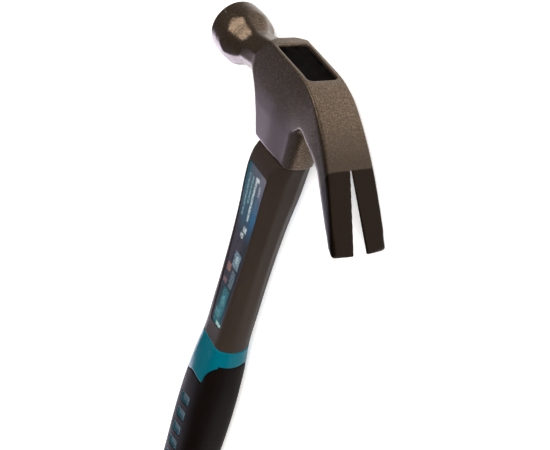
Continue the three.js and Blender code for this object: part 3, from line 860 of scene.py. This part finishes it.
def build_jacket():
    lip = [(0, 1.0), (0.05, 0.55), (0.25, 0.15), (0.6, 0)]
    top = [handle_ring(JACKET_TOP + d, inset) for d, inset in lip]
    middle = [handle_ring(d, 0) for d in np.arange(JACKET_TOP + 1.2, COLLAR_TOP - 0.7, 0.8)]
    bottom = [handle_ring(COLLAR_TOP - d, inset) for d, inset in reversed(lip)]
    points, faces = skin([*top, *middle, *bottom])
    piece = new_piece("shaft_skin", points, faces, ["shaft_jacket"], MATERIALS["jacket"])
    cut_away(piece, [label_recess(side) for side in (1, -1)])
    return piece


def surface_height(distance):
    return sizes_at(np.asarray(distance, float))[..., 1]


def label_recess(side):
    """A cutter whose floor follows the flat of the jacket, 0.75 mm under its surface."""
    points, faces = banded_plate(label_outline(0.35), 0.75, -5)
    if side < 0:
        points = points * [1, 1, -1]
        faces = [f[::-1] for f in faces]
    return points, faces


def banded_plate(shape, deep, shallow, bands=48):
    """A plate that follows the flat of the jacket between two depths, cut into bands along the handle."""
    low, high = shape[:, 0].min(), shape[:, 0].max()
    near_end = np.array([0.01, 0.35, 0.8, 1.3])
    edges = np.concatenate([high - near_end, np.linspace(high, low, bands)[1:-1], low + near_end])
    edges = np.unique(edges)[::-1]
    rings = []
    for x in edges:
        half = half_width_of(shape, x)
        z = float(surface_height(-x))
        across = np.linspace(-half, half, 9)
        top = np.column_stack([np.full(9, x), across, np.full(9, z - shallow)])
        under = np.column_stack([np.full(9, x), across[::-1], np.full(9, z - deep)])
        rings.append(np.vstack([under[::-1], top[::-1]]))
    return skin(rings)


def half_width_of(shape, x):
    """Half the width of a symmetric outline at one x."""
    found = [0.05]
    for (ax, ay), (bx, by) in zip(shape, np.roll(shape, -1, axis=0)):
        if ax != bx and min(ax, bx) <= x <= max(ax, bx):
            found.append(abs(ay + (by - ay) * (x - ax) / (bx - ax)))
    return max(found)


def build_label(name, side):
    points, faces = banded_plate(label_outline(0), 0.7, 0.28)
    if side < 0:
        points = points * [1, 1, -1]
        faces = [f[::-1] for f in faces]
    node = "label_upper" if side > 0 else "label_lower"
    piece = new_piece(name, points, faces, [node], MATERIALS["label"], 30)
    layer = piece.data.uv_layers.new(name="print")
    length = LABEL_BOTTOM - LABEL_TOP
    corner_points = [points[loop.vertex_index] for loop in piece.data.loops]
    for slot, point in zip(layer.data, corner_points):
        down = (-point[0] - LABEL_TOP) / length
        half = label_half_width(-point[0])
        slot.uv = (down, 0.5 - 0.5 * point[1] / half)
    return piece


def build_sleeve():
    edge = cover_edge()
    start = COLLAR_TOP + 0.25
    rows = [handle_ring(start, 1.0), handle_ring(start + 0.03, 0.5), handle_ring(start + 0.2, 0.12)]
    rows.append(handle_ring(start + 0.5, 0))
    first, last = start + 0.9, edge - 0.75
    rows += [handle_ring(first + (last - first) * t, 0) for t in np.linspace(0, 1, 26)]
    rows.append(handle_ring(edge - 0.4, 0.06))
    rows.append(handle_ring(edge - 0.2, 0.3))
    rows.append(handle_ring(edge - 0.14, 1.4))
    rows += [handle_ring(edge + (215 - edge) * t, 1.8) for t in (0.2, 0.6, 1)]
    rows += [handle_ring(d, 1.8) for d in (240, 270, 300, 320)]
    points, faces = skin(rows)
    return new_piece("grip_collar", points, faces, ["grip_sleeve"], MATERIALS["teal"], 50)


BAR_COUNT = 7
BAR_FIRST = 212.0
BAR_PITCH = 12.5
BAR_LENGTH = 7.5
BAR_HALF_WIDTH = 4.8
BAR_CENTRE = 2.0
BAR_SLANT = 3.0
BAR_CORNER = 1.3
# From the foot of a bar over its rim into its dished top: share of its outline, and depth below the surface
# of the grip.
BAR_PROFILE = [
    (1, 3.2),
    (1, 0.7),
    (0.985, 0.4),
    (0.95, 0.2),
    (0.88, 0.15),
    (0.8, 0.22),
    (0.7, 0.6),
    (0.64, 0.8),
    (0.5, 0.85),
    (0.25, 0.85),
]


def bar_outline(number, margin):
    top = -(BAR_FIRST + number * BAR_PITCH) + margin
    bottom = top - BAR_LENGTH - 2 * margin
    low, high = BAR_CENTRE - BAR_HALF_WIDTH - margin, BAR_CENTRE + BAR_HALF_WIDTH + margin
    corners = [(bottom, low), (top, low), (top - BAR_SLANT, high), (bottom - BAR_SLANT, high)]
    return rounded_corners(corners, BAR_CORNER + margin, 6)


def build_cover():
    edge = cover_edge()
    rows = [handle_ring(edge + 0.2, 1.5), handle_ring(edge + 0.22, 0.6), handle_ring(edge + 0.42, 0.16)]
    rows.append(handle_ring(edge + 0.8, 0))
    first = edge + 1.2
    rows += [handle_ring(first + (214 - first) * t, 0) for t in np.linspace(0, 1, 40)]
    rows += [handle_ring(d, 0) for d in np.arange(215, 327, 1.0)]
    butt_length, butt_inset = 3.5, 3.2
    for turn in np.linspace(0, 1, 10)[1:]:
        angle = turn * math.pi / 2
        distance = COVER_LENGTH - butt_length + butt_length * math.sin(angle)
        rows.append(handle_ring(distance, butt_inset * (1 - math.cos(angle))))
    points, faces = skin(rows)
    material = MATERIALS["rubber"]
    piece = new_piece("grip_cover_skin", points, faces, ["grip_cover"], material, 40)
    window_depths = ((8, 20), (-20, -8))  # from inside the cover to outside it, on each side
    cutters = [
        prism(bar_outline(number, 0.25), low, high)
        for low, high in window_depths
        for number in range(BAR_COUNT)
    ]
    cut_away(piece, cutters)
    return piece


def build_bars():
    """Raised bars of the sleeve, each a pillow that follows the grip's surface."""
    all_points, all_faces = [], []
    for side in (1, -1):
        for number in range(BAR_COUNT):
            shape = bar_outline(number, 0)
            centre = shape.mean(axis=0)
            rings = []
            for share, inset in BAR_PROFILE:
                ring = centre + (shape - centre) * share
                rings.append(np.column_stack([ring, grip_height(ring, inset)]))
            points, faces = bar_skin(rings)
            if side < 0:
                points = points * [1, 1, -1]
                faces = [f[::-1] for f in faces]
            offset = len(all_points)
            all_points += points.tolist()
            all_faces += [tuple(i + offset for i in f) for f in faces]
    material = MATERIALS["inlay"]
    return new_piece("grip_bars", all_points, all_faces, ["grip_sleeve"], material, 50)


def grip_height(points, inset):
    """z of the grip's upper surface over points in x and y, moved in by inset."""
    size = sizes_at(-points[:, 0])
    share = np.clip(np.abs(points[:, 1]) / size[:, 0], 0, 0.98)
    return (1 - share**GRIP_ROUNDNESS) ** (1 / GRIP_ROUNDNESS) * size[:, 1] - inset


def bar_skin(rings):
    """A pillow through rings from its foot to its top, closed by a fan over both ends."""
    count = len(rings[0])
    points = list(np.vstack(rings))
    faces = []
    (ax, ay), (bx, by) = np.diff(rings[0][:3, :2], axis=0)
    turn = 1 if ax * by - ay * bx >= 0 else -1
    for r in range(len(rings) - 1):
        for i in range(count):
            a, b = r * count + i, r * count + (i + 1) % count
            faces.append((a, b, b + count, a + count)[::turn])
    for r, flip in ((0, -1), (len(rings) - 1, 1)):
        centre = len(points)
        points.append(np.mean(rings[r], axis=0))
        for i in range(count):
            a, b = r * count + i, r * count + (i + 1) % count
            faces.append((centre, a, b)[:: flip * turn])
    return np.array(points), faces


def build_resin():
    """The resin in the eye, with a meniscus that climbs its walls."""
    level, climb, reach = 1.9, 0.7, 0.7
    bottom, clearance = 40, 0.25
    rows = [eye_ring(bottom, clearance)]
    for inward in (0, 0.12, 0.35, 0.7, 1.2, 2, 3.2, 5, 6.6):
        drop = level - climb * math.exp(-inward / reach)
        rows.append(eye_ring(drop, clearance + inward))
    points, faces = skin(rows)
    faces = [f[::-1] for f in faces]
    return new_piece("eye_resin", points, faces, ["epoxy_potting"], MATERIALS["epoxy"], 60)


def eye_ring(distance, clearance):
    """The eye's outline at one distance below the top of the head."""
    front = EYE_FRONT + (EYE_MOUTH_FRONT - EYE_FRONT) * distance / BLOCK_HEIGHT - clearance
    rear = -EYE_REAR + clearance
    corner = max(0.3, EYE_CORNER - clearance)
    made = []
    for cy, cz, start in ((front, -1, -90), (front, 1, 0), (rear, 1, 90), (rear, -1, 180)):
        inner = cy - corner if cy > 0 else cy + corner
        for angle in np.radians(np.linspace(start, start + 90, 8)):
            y = inner + corner * math.cos(angle)
            half = EYE_HALF_WIDTH + EYE_BULGE * float(smooth_share(y, -EYE_REAR, EYE_FRONT)) - clearance
            made.append((-distance, y, cz * (half - corner) + corner * math.sin(angle)))
    return np.array(made)


build_head()
build_resin()
build_jacket()
build_label("sticker_upper", 1)
build_label("sticker_lower", -1)
build_sleeve()
build_bars()
build_cover()

for node_name, material_name in (("fibreglass_core", "fibreglass"), ("eye_dam", "rubber")):
    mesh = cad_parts[node_name].data
    mesh.materials.clear()
    mesh.materials.append(MATERIALS[material_name])

# --- studio ----------------------------------------------------------------------------------------------


POOL_DIRECTION = (0.876, 0.482)  # in x and y, from the hammer to the edge of the painted pool of light on the floor
POOL_REACH = 28.0  # from the top of the head to where the painted pool of light starts to fade
POOL_FADE = 30.0


def add_floor():
    """Pale paper with a painted pool of light: it glows around the hammer and is painted dark grey beyond the
    head, which is what the head's top reflects.
    """
    m = Nodes("studio_floor")
    paper = m.noise(30, detail=3)
    toward_x, toward_y = POOL_DIRECTION
    x_part = m.math("MULTIPLY", m.axis("X"), toward_x)
    y_part = m.math("MULTIPLY", m.axis("Y"), toward_y)
    beyond = m.math("ADD", x_part, y_part)
    edge = float(ORIGIN[0]) * toward_x + float(ORIGIN[1]) * toward_y + POOL_REACH * MM
    dimmed = m.span(beyond, edge, edge + POOL_FADE * MM)
    pale = m.ramp(paper, (0.3, (0.9, 0.9, 0.9)), (0.7, (0.93, 0.93, 0.93)))
    # painted light: the floor glows inside the pool, and its colour turns dark grey beyond it as a painted
    # falloff
    m.set(
        Base_Color=m.mix(dimmed, pale, (0.16, 0.16, 0.16)),
        Roughness=0.9,
        Emission_Color=(1, 1, 1, 1),
        Emission_Strength=m.span(dimmed, 0, 1, 0.45, 0.0),
        Normal=m.bump(m.noise(0.8), 0.02, 0.3),
    )
    size = 12.0
    mesh = bpy.data.meshes.new("studio_floor")
    corners = [(-size, -size, 0), (size, -size, 0), (size, size, 0), (-size, size, 0)]
    mesh.from_pydata(corners, [], [(0, 1, 2, 3)])
    mesh.materials.append(m.material)
    floor = bpy.data.objects.new("studio_floor", mesh)
    bpy.context.scene.collection.objects.link(floor)


def add_softbox(name, target, toward, distance, size, power, colour):
    """A rectangular light that hangs in a direction from its target and faces it."""
    light = bpy.data.lights.new(name, "AREA")
    light.shape = "RECTANGLE"
    light.size, light.size_y = size
    light.energy = power
    light.color = colour
    lamp = bpy.data.objects.new(name, light)
    direction = Vector(toward).normalized()
    lamp.location = Vector(target) + direction * distance
    lamp.rotation_euler = direction.to_track_quat("Z", "Y").to_euler()
    bpy.context.scene.collection.objects.link(lamp)


def add_world():
    world = bpy.data.worlds.new("studio")
    world.use_nodes = True
    background = world.node_tree.nodes["Background"]
    background.inputs["Color"].default_value = (1, 1, 1, 1)
    background.inputs["Strength"].default_value = 0.07
    bpy.context.scene.world = world


CAMERA_TARGET = (-82.8, -10.9, 0)
CAMERA_FORWARD = (-0.596, 0.624, -0.504)
CAMERA_UP = (0.765, 0.632, -0.122)
CAMERA_DISTANCE = 484.3


def add_camera():
    """Looks at the shaft below the head, from above its rear corner, with the handle down the picture."""
    camera = bpy.data.objects.new("camera", bpy.data.cameras.new("camera"))
    camera.data.lens = 66.54
    camera.data.sensor_width = 36
    target = Vector(place(CAMERA_TARGET))
    forward = Vector(CAMERA_FORWARD).normalized()
    right = forward.cross(Vector(CAMERA_UP)).normalized()
    up = right.cross(forward)
    turn = Matrix((right, up, -forward)).transposed().to_4x4()
    camera.matrix_world = Matrix.Translation(target - forward * CAMERA_DISTANCE * MM) @ turn
    bpy.context.scene.collection.objects.link(camera)
    bpy.context.scene.camera = camera


def add_sun(toward, strength, angle, colour):
    """Broad light over the whole floor."""
    light = bpy.data.lights.new("ceiling", "SUN")
    light.energy = strength
    light.angle = math.radians(angle)
    light.color = colour
    lamp = bpy.data.objects.new("ceiling", light)
    lamp.rotation_euler = Vector(toward).normalized().to_track_quat("Z", "Y").to_euler()
    lamp.visible_glossy = False
    bpy.context.scene.collection.objects.link(lamp)


add_floor()
add_world()
head_centre = tuple(place((-20, -20, 0)))
bell_centre = tuple(place((-16, 50, 8)))
add_sun(toward=(0.5, -0.6, 0.62), strength=4.0, angle=50, colour=(1, 0.98, 0.95))
# low over the floor beyond the handle: the pale lower rims of the bell, the neck and the cheek
add_softbox(
    "horizon",
    head_centre,
    toward=(-0.78, 0.6, 0.13),
    distance=0.7,
    size=(0.6, 0.22),
    power=2.2,
    colour=(0.86, 0.82, 1),
)
# the bright patch on the neck's upper facet
add_softbox(
    "bell",
    bell_centre,
    toward=(0.66, 0.15, 0.65),
    distance=0.5,
    size=(0.28, 0.3),
    power=1.6,
    colour=(1, 0.95, 0.86),
)
# the warm light on the crown of the claw
add_softbox(
    "key",
    head_centre,
    toward=(0.78, -0.6, 0.3),
    distance=0.6,
    size=(0.3, 0.3),
    power=0.5,
    colour=(1, 0.92, 0.8),
)
add_camera()
bpy.context.scene.view_settings.view_transform = "Standard"
